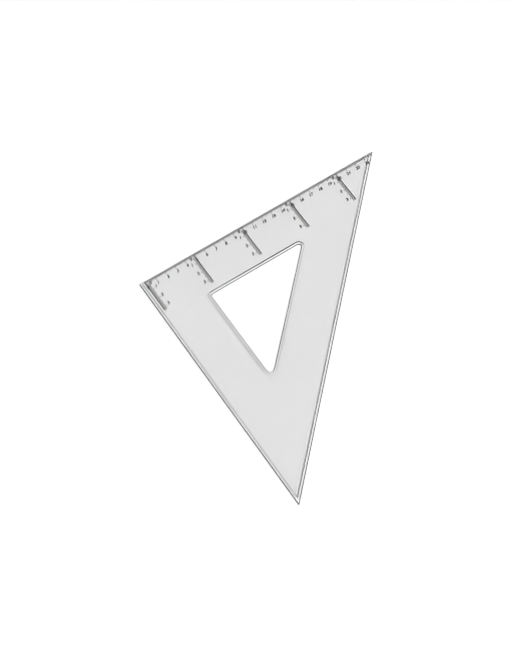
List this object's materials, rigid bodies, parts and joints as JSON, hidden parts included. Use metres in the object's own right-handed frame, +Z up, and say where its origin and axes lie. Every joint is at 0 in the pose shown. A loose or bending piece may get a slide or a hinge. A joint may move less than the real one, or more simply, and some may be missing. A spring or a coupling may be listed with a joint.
{
  "type": "drafting triangle",
  "caption": "Flat clear 45 degree set square with a stepped rim, a triangular window, a millimetre scale along one leg and short cross scales, for ruling and measuring lines on paper.",
  "frame": {"origin": "middle of the bounding box on the underside, which is about the middle of the hypotenuse", "axes": "+X along the graduated leg away from the right angle, +Y from the hypotenuse's lower tip towards the graduated leg, +Z up out of the stepped face"},
  "size_m": [0.2454, 0.2454, 0.0016],
  "materials": {
    "clear_plastic": "clear moulded plastic, polished faces, fine handling scratches",
    "black_ink": "matt black ink dried in engraved grooves"
  },
  "bodies": {
    "root": {"plate": "clear_plastic", "edge_millimetre_ticks": "black_ink", "edge_half_centimetre_ticks": "black_ink", "edge_centimetre_ticks": "black_ink", "cross_scale_0": "black_ink", "cross_scale_5": "black_ink", "cross_scale_10": "black_ink", "cross_scale_15": "black_ink", "cross_scale_20": "black_ink"}
  },
  "joints": []
}
